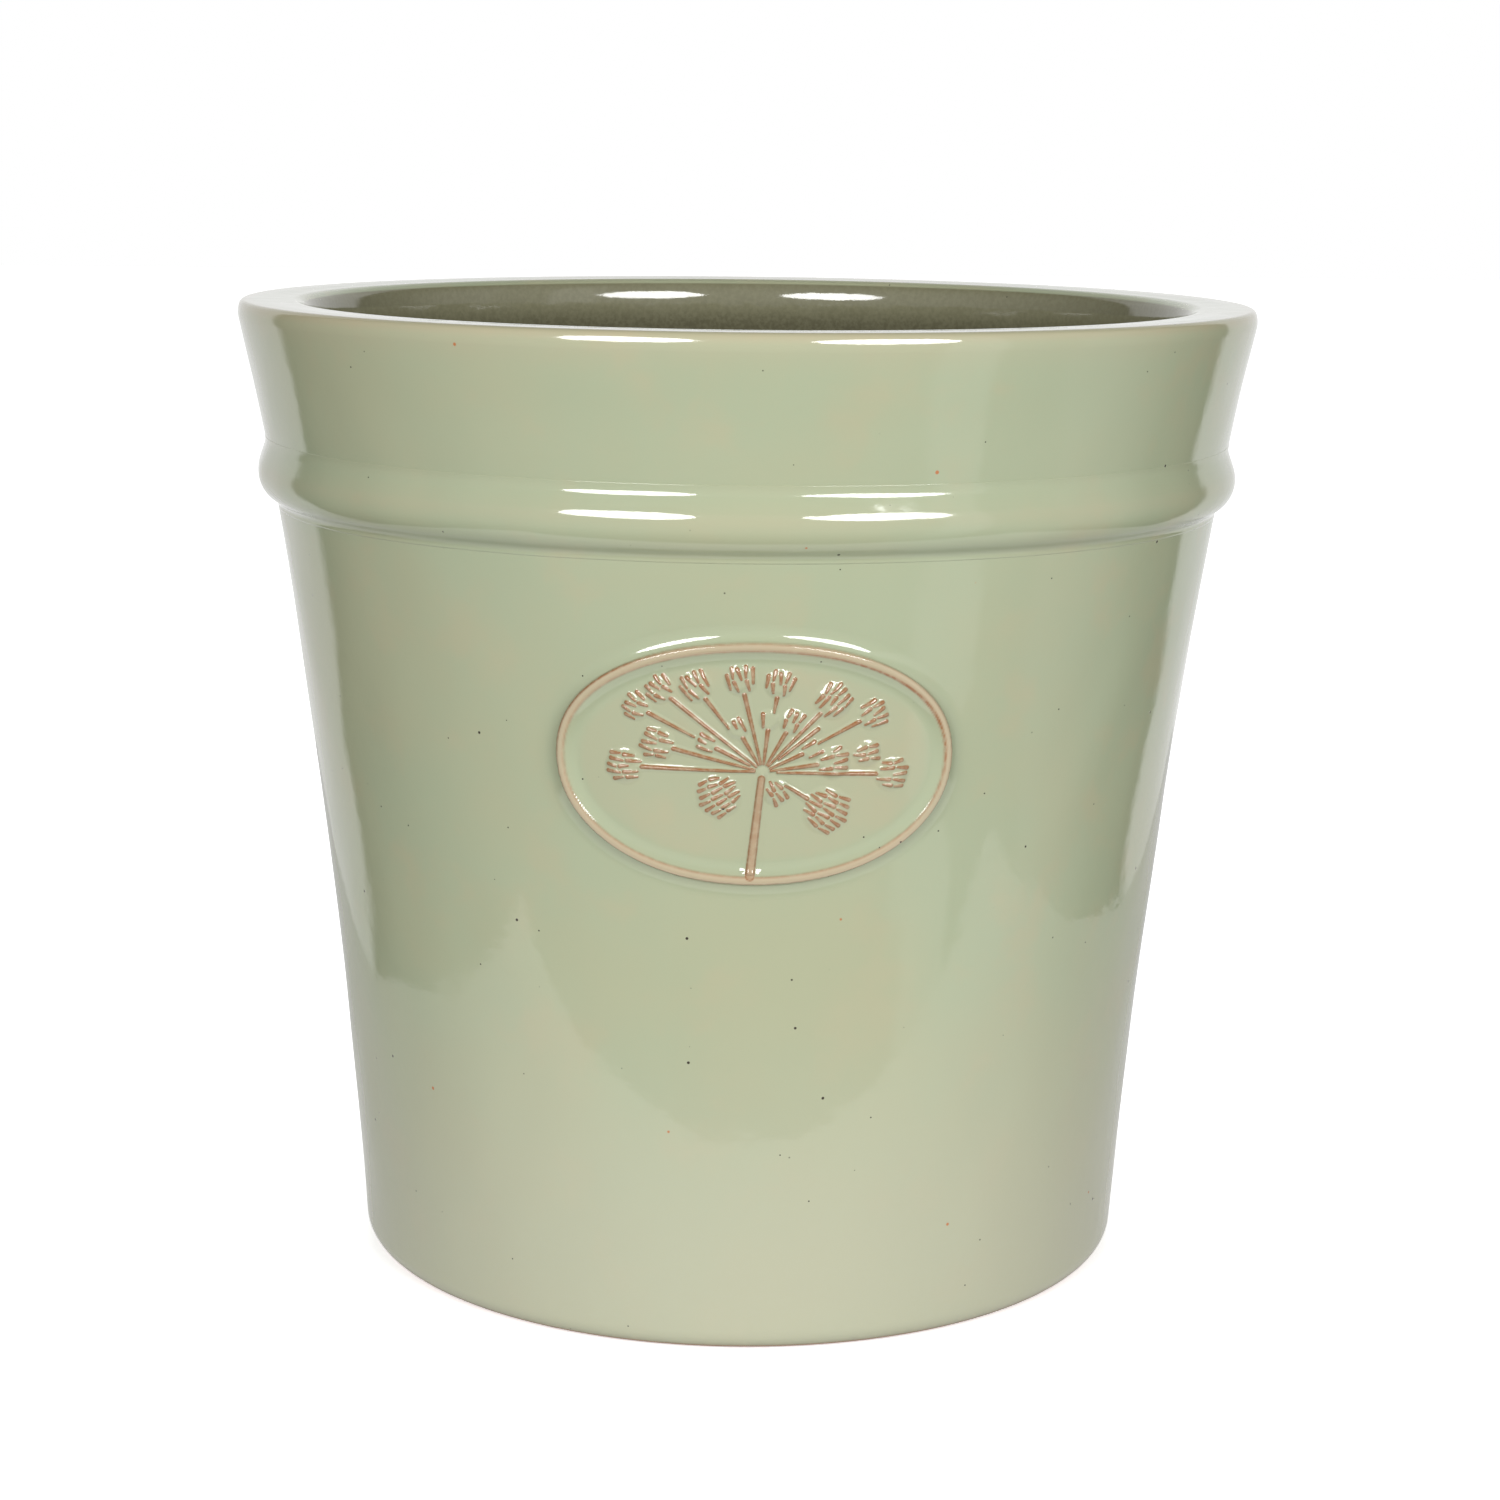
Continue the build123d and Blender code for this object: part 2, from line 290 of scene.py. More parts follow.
def turned(name, rows, waviness, attributes):
    """Turn a closed outline about Z. waviness says how much of the wall's waves a row has."""
    angles = np.arange(AROUND) * 2 * pi / AROUND
    radius = rows[:, 0][:, None]
    z = np.repeat(rows[:, 1][:, None], AROUND, axis=1)
    radius = radius + unevenness(angles[None, :], z) * waviness[:, None]
    points = np.stack([radius * np.sin(angles), -radius * np.cos(angles), z], -1).reshape(-1, 3)
    count = len(rows)
    row, col = np.meshgrid(np.arange(count), np.arange(AROUND), indexing="ij")
    next_row = (row + 1) % count
    next_col = (col + 1) % AROUND
    faces = np.stack(
        [row * AROUND + col, row * AROUND + next_col, next_row * AROUND + next_col,
         next_row * AROUND + col], -1,
    ).reshape(-1, 4)
    spread = {key: np.repeat(values, AROUND) for key, values in attributes.items()}
    return mesh_object(name, points, faces, attributes=spread)


def arc_rows(centre, radius, from_deg, to_deg, count):
    """Rows along a circular arc; 0 degrees points outwards and 90 up."""
    angle = np.radians(np.linspace(from_deg, to_deg, count))
    return np.stack([centre[0] + radius * np.cos(angle), centre[1] + radius * np.sin(angle)], 1)


def straight_rows(start, end, count):
    """Rows evenly along a straight line."""
    share = np.linspace(0, 1, count)[:, None]
    return np.array(start) * (1 - share) + np.array(end) * share


def height_rows(radius_of, z_from, z_to, step):
    """Rows of an outline given as a radius for each height, about a step apart."""
    z = np.linspace(z_from, z_to, max(2, round(abs(z_to - z_from) / step)))
    return np.stack([radius_of(z), z], 1)


def joined(*parts):
    """One outline from several, without doubled points."""
    rows = np.concatenate(parts)
    gaps = np.hypot(*(rows - np.roll(rows, 1, axis=0)).T)
    return rows[gaps > 0.02]


def outer_outline():
    """From under the foot up the outside, and round the lip's outer edge to the lip's top."""
    foot_z = FOOT_ROUND * (1 - sin(FOOT_SLOPE))
    foot_centre = (float(wall_radius(foot_z)) - FOOT_ROUND * cos(FOOT_SLOPE), FOOT_ROUND)
    edge_turn = radians(LIP_EDGE_FROM)
    shoulder_centre = (
        RIM_RADIUS - LIP_SHOULDER_ROUND,
        HEIGHT - LIP_EDGE_ROUND * (1 - sin(edge_turn)) - LIP_SHOULDER_ROUND * sin(edge_turn),
    )
    rim_z = shoulder_centre[1] - LIP_SHOULDER_ROUND * sin(RIM_FLARE)
    rim_r = shoulder_centre[0] + LIP_SHOULDER_ROUND * cos(RIM_FLARE)
    face = height_rows(wall_radius, foot_z, rim_z, 2.6)
    face[:, 0] += (rim_r - face[-1, 0]) * smooth(rim_z - 28.0, rim_z, face[:, 1])
    edge_centre = (
        shoulder_centre[0] + (LIP_SHOULDER_ROUND - LIP_EDGE_ROUND) * cos(edge_turn),
        HEIGHT - LIP_EDGE_ROUND,
    )
    rows = joined(
        arc_rows(foot_centre, FOOT_ROUND, -90, -np.degrees(FOOT_SLOPE), 14),
        face,
        arc_rows(shoulder_centre, LIP_SHOULDER_ROUND, -np.degrees(RIM_FLARE), LIP_EDGE_FROM, 10),
        arc_rows(edge_centre, LIP_EDGE_ROUND, LIP_EDGE_FROM, 90, 8),
    )
    return rows, edge_centre[0]


def inner_outline(lip_outer_r):
    """Over the lip from its outer edge, down the inside, and down the seat of the base."""
    inner_turn = radians(LIP_INNER_FROM)
    inner_z = HEIGHT - LIP_CROWN - LIP_INNER_ROUND * (1 - sin(inner_turn))
    inner_centre = (
        float(inside_radius(inner_z)) + LIP_INNER_ROUND * cos(inner_turn),
        HEIGHT - LIP_CROWN - LIP_INNER_ROUND,
    )
    across = np.linspace(lip_outer_r, inner_centre[0], 12)
    share = (across - inner_centre[0]) / (lip_outer_r - inner_centre[0])
    crown = HEIGHT - LIP_CROWN * (1 - smooth(0.0, 0.7, share))
    return joined(
        np.stack([across, crown], 1),
        arc_rows(inner_centre, LIP_INNER_ROUND, 90, 180 - LIP_INNER_FROM, 10),
        height_rows(inside_radius, inner_z, FINE_INSIDE_Z, 0.8),
        height_rows(inside_radius, FINE_INSIDE_Z, SEAT_TOP, 6.0),
        straight_rows((SEAT_RADIUS, SEAT_TOP), (SEAT_RADIUS, SEAT_ROUND), 6),
        arc_rows((SEAT_RADIUS + SEAT_ROUND, SEAT_ROUND), SEAT_ROUND, 180, 270, 5),
    )


def make_wall():
    """The wall, closed: up the outside, over the lip, down the inside, under the foot."""
    outer_rows, lip_outer_r = outer_outline()
    rows = joined(outer_rows, inner_outline(lip_outer_r))
    r, z = rows.T
    depth = wall_radius(z) - r
    outside = depth < 6.0
    inner = np.clip((depth - WALL_THICKNESS + 4.0) / 4.0, 0, 1) * (z < HEIGHT - 2)
    edge = bump(HEIGHT - 1.2, 3.2, z) * outside
    skirt = smooth(HEIGHT - 15, HEIGHT - 4, z) * outside
    wet_fillet = bump(BAND_TOP_Z, 6.0, z) + bump(BAND_FOOT_Z, 4.0, z)
    attributes = {
        "thin": np.clip(edge * 0.34 + skirt * 0.2, 0, 1),
        "line": np.zeros(len(rows)),
        "pool": wet_fillet * outside * 0.4,
        "inside": inner,
        "bare": 1 - smooth(0.8, 2.1, z),
    }
    return turned("pot_wall_glazed", rows, outside.astype(float), attributes)


def band_outline():
    """The band's outer face, from its foot to where it meets the collar."""
    fillet_from = np.array([float(wall_radius(BAND_FOOT_Z)), BAND_FOOT_Z])
    under_angle = np.degrees(np.arcsin((BAND_CREST_Z - BAND_CREASE_Z) / BAND_UNDER_ROUND))
    under_centre = (BAND_CREST_RADIUS - BAND_UNDER_ROUND, BAND_CREST_Z)
    under = arc_rows(under_centre, BAND_UNDER_ROUND, -under_angle, 0, 14)
    share = np.linspace(0, 1, 9)[:-1, None]
    reach = under[0] - fillet_from
    foot = fillet_from + np.concatenate([reach[0] * share**2.2, reach[1] * share], 1)
    upper_centre = (BAND_CREST_RADIUS - BAND_UPPER_ROUND, BAND_CREST_Z)
    upper = arc_rows(upper_centre, BAND_UPPER_ROUND, 0, np.degrees(BAND_SHOULDER), 10)
    fillet_drop = BAND_FILLET * (sin(BAND_SHOULDER) + sin(RIM_FLARE))
    fillet_start_z = BAND_TOP_Z - fillet_drop
    fillet_start_r = upper[-1][0] - (fillet_start_z - upper[-1][1]) * tan(BAND_SHOULDER)
    fillet_centre = (
        fillet_start_r + BAND_FILLET * cos(BAND_SHOULDER),
        fillet_start_z + BAND_FILLET * sin(BAND_SHOULDER),
    )
    fillet_from_deg = 180 + np.degrees(BAND_SHOULDER)
    fillet_to_deg = 180 - np.degrees(RIM_FLARE)
    fillet = arc_rows(fillet_centre, BAND_FILLET, fillet_from_deg, fillet_to_deg, 14)
    return np.concatenate([foot, under, upper[1:], fillet])


def make_band():
    """The rounded band. Its edges feather out on the wall; its back is inside the wall."""
    face = band_outline()
    face[:, 0] = np.maximum(face[:, 0], wall_radius(face[:, 1]) + FEATHER)
    back = np.array([[float(wall_radius(z)) - 1.5, z] for z in (BAND_TOP_Z, BAND_FOOT_Z)])
    rows = np.concatenate([face, back])
    z = rows[:, 1]
    front = np.arange(len(rows)) < len(face)
    attributes = {
        "thin": bump(BAND_CREST_Z + 2.0, 5.0, z) * front * 0.16,
        "line": np.zeros(len(rows)),
        "pool": (bump(306.5, 7.0, z) * 0.75 + bump(BAND_CREASE_Z, 2.5, z) * 0.4) * front,
        "inside": np.zeros(len(rows)),
        "bare": np.zeros(len(rows)),
    }
    return turned("wall_band_glazed", rows, np.ones(len(rows)), attributes)


def make_base():
    """The base slab: a dished floor inside, a drainage hole and a bare underside."""
    cove_top = BASE_TOP + COVE
    cove_r = float(inside_radius(cove_top)) - FEATHER
    rise = np.radians(np.linspace(0, 84, 12))
    cove = np.stack([cove_r - COVE * (1 - np.sin(rise)), cove_top - COVE * np.cos(rise)], 1)
    floor_r = np.linspace(DRAIN_RADIUS + DRAIN_ROUND, cove[0][0], 34)[:-1]
    dish = BASE_TOP - DISH * (1 - smooth(20.0, 110.0, floor_r))
    rings = THROWING_RING * np.sin(2 * pi * floor_r / THROWING_PITCH) * smooth(22.0, 40.0, floor_r)
    floor = np.stack([floor_r, dish + rings * (1 - smooth(95.0, 110.0, floor_r))], 1)
    under_r = np.linspace(SEAT_RADIUS, DRAIN_RADIUS + DRAIN_UNDER_ROUND, 40)
    trimming = TRIMMING_RING * np.abs(np.sin(2 * pi * under_r / TRIMMING_PITCH))
    under = np.stack([under_r, BASE_UNDER + trimming * (1 - smooth(115.0, 126.0, under_r))], 1)
    under_centre = (DRAIN_RADIUS + DRAIN_UNDER_ROUND, BASE_UNDER + DRAIN_UNDER_ROUND)
    top_centre = (DRAIN_RADIUS + DRAIN_ROUND, BASE_TOP - DISH - DRAIN_ROUND)
    rows = joined(
        arc_rows(under_centre, DRAIN_UNDER_ROUND, 270, 180, 6),
        straight_rows((DRAIN_RADIUS, BASE_UNDER + 3.0), (DRAIN_RADIUS, BASE_TOP - 4.0), 8),
        arc_rows(top_centre, DRAIN_ROUND, 180, 90, 7),
        floor,
        cove,
        straight_rows((SEAT_RADIUS, SEAT_TOP + 4.0), (SEAT_RADIUS, BASE_UNDER + 1.0), 6),
        under,
    )
    r, z = rows.T
    attributes = {
        "thin": bump(BASE_TOP, 3.0, z) * bump(DRAIN_RADIUS, 5.0, r) * 0.8,
        "line": np.zeros(len(rows)),
        "pool": np.zeros(len(rows)),
        "inside": np.ones(len(rows)),
        "bare": 1 - smooth(7.5, 10.0, z),
    }
    return turned("pot_base_glazed", rows, np.zeros(len(rows)), attributes)


# ---------------------------------------------------------------- the badge

def out_from(point, bearing, distance):
    """A point of the badge at a bearing in degrees, 0 to the right and 90 up."""
    angle = radians(bearing)
    return (point[0] + distance * cos(angle), point[1] + distance * sin(angle))


def stalks():
    """Every stalk that shows, as its two ends."""
    ends = []
    for bearing, start, end, _ in UMBELLETS:
        if end > start:
            ends.append((out_from(HUB, bearing, start), out_from(HUB, bearing, end)))
    return ends


def head_point(umbellet, along, across):
    """A point of a head, along its stalk's bearing and across it from the head's centre."""
    bearing, _, end, size = umbellet
    centre = out_from(HUB, bearing, end + size)
    spread = across * (1 + FLORET_FANNING * along / size)
    return out_from(out_from(centre, bearing, along), bearing + 90, spread)


def head(umbellet):
    """One head's florets, as their two ends: staggered rows of them that fill a circle."""
    size = umbellet[3]
    row_count = int((size - FLORET_WIDTH / 2) / FLORET_PITCH)
    ends = []
    for row in range(-row_count, row_count + 1):
        across = row * FLORET_PITCH
        half = sqrt(size**2 - across**2)
        count = max(1, round(2 * half / FLORET_LENGTH))
        step = 2 * half / count
        shift = FLORET_STAGGER * sin(2.1 * row + size)
        for index in range(count):
            lean = FLORET_LEAN * sin(2.4 * index + 3 * row + size)
            start = -half + shift + step * index + FLORET_GAP / 2
            end = start + step - FLORET_GAP
            near = head_point(umbellet, start, across - lean)
            far = head_point(umbellet, end, across + lean)
            ends.append((near, far))
    return ends


def point_gap(point, segment):
    """How far a point is from a segment."""
    start, end = segment
    run = (end[0] - start[0], end[1] - start[1])
    along = (point[0] - start[0]) * run[0] + (point[1] - start[1]) * run[1]
    share = min(1.0, max(0.0, along / (run[0] ** 2 + run[1] ** 2)))
    return hypot(point[0] - start[0] - share * run[0], point[1] - start[1] - share * run[1])


def segment_gap(first, second):
    """How far apart two segments are, by points along each of them."""
    gaps = []
    for mine, other in ((first, second), (second, first)):
        for share in (0.0, 0.25, 0.5, 0.75, 1.0):
            x = mine[0][0] + share * (mine[1][0] - mine[0][0])
            y = mine[0][1] + share * (mine[1][1] - mine[0][1])
            gaps.append(point_gap((x, y), other))
    return min(gaps)


def florets():
    """Every floret that has room beside the stalks, the stem and the other florets."""
    taken = stalks() + [(STEM_TOP, STEM_FOOT)]
    stem_count = len(taken)
    for umbellet in UMBELLETS:
        if umbellet[3] == 0:
            continue
        for floret in head(umbellet):
            if min(segment_gap(floret, other) for other in taken) > FLORET_WIDTH + CLEARANCE:
                taken.append(floret)
    return taken[stem_count:]


def grid_lines(low, fine_low, fine_high, high, coarse, fine):
    """Grid lines from low to high that are close together where the flower is."""
    parts = [
        np.arange(low, fine_low, coarse),
        np.arange(fine_low, fine_high, fine),
        np.arange(fine_high, high + coarse, coarse),
    ]
    return np.concatenate(parts)


def oval_distance(u, v):
    """Roughly how far outside the middle of the border a point is; negative inside."""
    n = BADGE_SQUARENESS
    a = np.maximum(np.abs(u), 1e-6) / BADGE_HALF_WIDTH
    b = np.maximum(np.abs(v), 1e-6) / BADGE_HALF_HEIGHT
    level = (a**n + b**n) ** (1 / n)
    slope_u = (a / level) ** (n - 1) / BADGE_HALF_WIDTH
    slope_v = (b / level) ** (n - 1) / BADGE_HALF_HEIGHT
    return (level - 1) / np.hypot(slope_u, slope_v)


def dish_height(d):
    """The badge's section: dished field, raised border, and a fillet down to the wall."""
    climb = np.maximum(d - INNER_FILLET_START, 0)
    bend = INNER_FILLET_SLOPE * INNER_FILLET_ROUND
    curved = np.minimum(climb, bend)
    field = FIELD_PROUD + curved**2 / (2 * INNER_FILLET_ROUND) + (climb - curved) * INNER_FILLET_SLOPE
    field = np.minimum(field, BORDER_SHOULDER)
    reach = np.clip((OUTER_FILLET_END - d) / OUTER_FILLET_END, 0, 1)
    skirt = FEATHER + OUTER_FILLET_RISE * reach**OUTER_FILLET_POWER
    skirt = np.minimum(skirt, BORDER_SHOULDER)
    ground = np.where(d < 0, field, skirt)
    share = np.clip(np.abs(d) / (BORDER_HALF + 0.25), 0, 1)
    crest = BORDER_CREST - (BORDER_CREST - BORDER_SHOULDER) * share**2
    inside_border = 1 - smooth(BORDER_HALF - 0.05, BORDER_HALF + 0.45, np.abs(d))
    return ground + (np.maximum(crest, ground) - ground) * inside_border


def ridge_share(u, v, segment, start_half, end_half, best):
    """Lower best to how far out in a ridge each point is: 0 on its middle, 1 at its edge."""
    start = np.array(segment[0])
    run = np.array(segment[1]) - start
    reach = end_half + start_half + 1.0
    low = np.minimum(start, segment[1]) - reach
    high = np.maximum(start, segment[1]) + reach
    columns = slice(*np.searchsorted(u, [low[0], high[0]]))
    rows = slice(*np.searchsorted(v, [low[1], high[1]]))
    x = u[columns][None, :] - start[0]
    y = v[rows][:, None] - start[1]
    along = np.clip((x * run[0] + y * run[1]) / (run @ run), 0, 1)
    gap = np.hypot(x - along * run[0], y - along * run[1])
    share = gap / (start_half + (end_half - start_half) * along)
    best[rows, columns] = np.minimum(best[rows, columns], share)


def ridge(share, rise, shoulder, glaze_rise):
    """A low ridge, nearly flat on top, with the glaze sloping down evenly from its foot."""
    crown = 1 - RIDGE_CROWN * np.minimum(share, 1) ** 2
    top = (1 - smooth(shoulder, RIDGE_FOOT, share)) * crown
    return rise * top + glaze_rise * np.clip((GLAZE_REACH - share) / (GLAZE_REACH - 1), 0, 1)


def head_mounds(u, v):
    """The height of the low mounds that the flower heads stand on."""
    mounds = np.zeros((len(v), len(u)))
    for bearing, _, end, size in UMBELLETS:
        if size > 0:
            centre = out_from(HUB, bearing, end + size)
            gap = np.hypot(u[None, :] - centre[0], v[:, None] - centre[1])
            rise = MOUND_SHARE * min(size, MOUND_RADIUS_MOST)
            mounds = np.maximum(mounds, rise * (1 - smooth(size * 0.5, size * 1.15, gap)))
    return mounds


def flower_shares(u, v):
    """How far out in the nearest stem, stalk and floret each point is: 1 at the edge."""
    far = np.full((len(v), len(u)), 9.0)
    stem, rays, heads = far.copy(), far.copy(), far.copy()
    ridge_share(u, v, (STEM_TOP, STEM_FOOT), STEM_TOP_WIDTH / 2, STEM_FOOT_WIDTH / 2, stem)
    for segment in stalks():
        ridge_share(u, v, segment, RAY_START_WIDTH / 2, RAY_END_WIDTH / 2, rays)
    for start, end in florets():
        ridge_share(u, v, (start, end), FLORET_WIDTH * 0.35, FLORET_WIDTH * 0.62, heads)
    return stem, rays, heads


def badge_height(u, v, d, stem, rays, heads):
    """How far the badge and its flower stand off the wall, fading out under the border."""
    hub_gap = np.hypot(u[None, :] - HUB[0], v[:, None] - HUB[1])
    height = dish_height(d) + HUB_RISE * (1 - smooth(0.6, 2.6, hub_gap))
    relief = np.maximum.reduce([
        ridge(stem, STEM_RISE, STEM_SHOULDER, STALK_GLAZE),
        ridge(rays, RAY_RISE, RAY_SHOULDER, STALK_GLAZE),
        ridge(heads, FLORET_RISE, FLORET_SHOULDER, FLORET_GLAZE),
    ])
    clear = 1 - smooth(-3.0, -1.5, d)
    return height + (relief + head_mounds(u, v)) * clear


def badge_regions(d, stem, rays, heads):
    """Which piece each point of the grid belongs to; none beyond the outer fillet."""
    region = np.full(d.shape, "plaque", dtype="<U8")
    region[heads < 1.1] = "florets"
    region[rays < 1.1] = "rays"
    region[(stem < 1.05) & (d < -1.6)] = "stem"
    region[np.abs(d) < BORDER_HALF + 0.1] = "border"
    region[d > OUTER_FILLET_END - 0.2] = ""
    return region


def badge_colours(u, v, d, stem, rays, heads):
    """Where the glaze runs thin, breaks to brown, or pools, over the badge, with painted shade along
    parts of the border's edges.
    """
    turn = np.degrees(np.arctan2(v[:, None] / BADGE_HALF_HEIGHT, u[None, :] / BADGE_HALF_WIDTH))
    on_border = 1 - smooth(BORDER_HALF - 0.1, BORDER_HALF + 0.35, np.abs(d))
    # Brown lines where the glaze breaks at the border's edges. Their extra weight on the upper right
    # of the inner edge and the upper left of the outer edge is painted shade.
    inner_line_and_shade = bump(-BORDER_HALF, 0.75, d) * (0.4 + 0.8 * bump(35.0, 75.0, turn))
    outer_line_and_shade = bump(BORDER_HALF, 0.75, d) * (0.4 + 0.8 * bump(150.0, 60.0, turn))
    on_stem = 1 - smooth(0.85, 1.1, stem)
    stem_edge = bump(0.95, 0.3, stem)
    relief = np.minimum(rays, heads)
    on_relief = 1 - smooth(0.8, 1.25, relief)
    relief_edge = bump(0.85, 0.4, relief)
    thin = np.maximum.reduce([on_border, on_stem, on_relief])
    warmth = 0.17 * (1 - smooth(-9.0, -6.0, d))
    line = np.maximum.reduce(
        [inner_line_and_shade, outer_line_and_shade * 0.85, on_stem * 0.45 + stem_edge * 0.6,
         on_relief * 0.8 + relief_edge * 0.4]
    )
    pool = bump(-4.2, 3.4, d) * 0.9 + bump(4.6, 3.8, d) * 0.6 + bump(1.9, 0.8, relief) * 0.35
    return {
        "thin": np.maximum(thin, warmth),
        "line": np.clip(line, 0, 1),
        "pool": np.clip(pool, 0, 1) * (1 - thin),
        "inside": np.zeros(d.shape),
        "bare": np.zeros(d.shape),
    }


def badge_surface(u, v, height):
    """The points of the badge's grid, wrapped on the wall, and the normals there."""
    angle = np.repeat(u[None, :] / BADGE_WRAP_RADIUS, len(v), axis=0)
    z = np.repeat(v[:, None] + BADGE_Z, len(u), axis=1)
    radius = wall_radius(z) + unevenness(angle, z) + height
    points = np.stack([radius * np.sin(angle), -radius * np.cos(angle), z], -1)
    across = np.gradient(points, u, axis=1)
    up = np.gradient(points, v, axis=0)
    normals = np.cross(across, up)
    normals /= np.linalg.norm(normals, axis=-1, keepdims=True)
    return points.reshape(-1, 3), normals.reshape(-1, 3)


def make_badge():
    """The badge as five pieces cut from one fine grid, so that they join without a seam."""
    u = grid_lines(low=-77.0, fine_low=-51.0, fine_high=54.0, high=77.0, coarse=0.6, fine=0.25)
    v = grid_lines(low=-50.0, fine_low=-39.5, fine_high=36.0, high=51.0, coarse=0.5, fine=0.25)
    d = oval_distance(u[None, :], v[:, None])
    shares = flower_shares(u, v)
    points, normals = badge_surface(u, v, badge_height(u, v, d, *shares))
    colours = badge_colours(u, v, d, *shares)
    index = np.arange(d.size).reshape(d.shape)
    corners = np.stack([index[:-1, :-1], index[:-1, 1:], index[1:, 1:], index[1:, :-1]], -1)
    face_region = badge_regions(d, *shares)[:-1, :-1]
    pieces = {}
    for region, name in BADGE_PIECES.items():
        faces = corners[face_region == region]
        used, local = np.unique(faces, return_inverse=True)
        weights = {key: values.ravel()[used] for key, values in colours.items()}
        pieces[region] = mesh_object(name, points[used], local.reshape(-1, 4), normals[used], weights)
    return pieces


# ---------------------------------------------------------------- materials

class Tree:
    """The node tree of a material or a world, with short ways to add and link nodes."""

    def __init__(self, owner):
        self.owner = owner
        owner.use_nodes = True
        self.nodes = owner.node_tree.nodes
        self.links = owner.node_tree.links

    def add(self, kind, **settings):
        node = self.nodes.new(kind)
        for key, value in settings.items():
            setattr(node, key, value)
        return node

    def link(self, source, target):
        self.links.new(source, target)

    def position(self):
        return self.add("ShaderNodeTexCoord").outputs["Object"]

    def attribute(self, name):
        return self.add("ShaderNodeAttribute", attribute_name=name).outputs["Fac"]

    def shader(self):
        return self.nodes["Principled BSDF"]

    def noise(self, scale, detail=2.0, roughness=0.5, offset=(0, 0, 0)):
        mapping = self.add("ShaderNodeMapping")
        mapping.inputs["Location"].default_value = offset
        self.link(self.position(), mapping.inputs["Vector"])
        node = self.add("ShaderNodeTexNoise")
        node.inputs["Scale"].default_value = scale
        node.inputs["Detail"].default_value = detail
        node.inputs["Roughness"].default_value = roughness
        self.link(mapping.outputs["Vector"], node.inputs["Vector"])
        return node.outputs["Fac"]

    def ramp(self, value, low, high, to_low=0.0, to_high=1.0, curve="SMOOTHSTEP"):
        """From to_low to to_high as the value goes from low to high."""
        node = self.add("ShaderNodeMapRange", interpolation_type=curve)
        keys = ("From Min", "From Max", "To Min", "To Max")
        for key, number in zip(keys, (low, high, to_low, to_high)):
            node.inputs[key].default_value = number
        self.link(value, node.inputs["Value"])
        return node.outputs["Result"]

    def math(self, operation, first, second=0.0):
        node = self.add("ShaderNodeMath", operation=operation)
        for socket, value in zip(node.inputs, (first, second)):
            if isinstance(value, (int, float)):
                socket.default_value = value
            else:
                self.link(value, socket)
        return node.outputs["Value"]

    def mix(self, share, first, second):
        """One colour blended into another; each is a tuple or a node's output."""
        node = self.add("ShaderNodeMix", data_type="RGBA")
        self.link(share, node.inputs["Factor"])
        colour_inputs = [socket for socket in node.inputs if socket.type == "RGBA"]
        for socket, value in zip(colour_inputs, (first, second)):
            if isinstance(value, tuple):
                socket.default_value = (*value, 1.0)
            else:
                self.link(value, socket)
        return next(socket for socket in node.outputs if socket.type == "RGBA")

    def spots(self, scale, size, keep, offset):
        """Small round spots at random: 1 in a spot, and only the given share is kept."""
        mapping = self.add("ShaderNodeMapping")
        mapping.inputs["Location"].default_value = offset
        self.link(self.position(), mapping.inputs["Vector"])
        cells = self.add("ShaderNodeTexVoronoi", feature="F1")
        cells.inputs["Scale"].default_value = scale
        self.link(mapping.outputs["Vector"], cells.inputs["Vector"])
        chance = self.add("ShaderNodeSeparateColor")
        self.link(cells.outputs["Color"], chance.inputs["Color"])
        near = self.ramp(cells.outputs["Distance"], size * 0.6, size, 1.0, 0.0)
        kept = self.math("LESS_THAN", chance.outputs["Red"], keep)
        return self.math("MULTIPLY", near, kept)


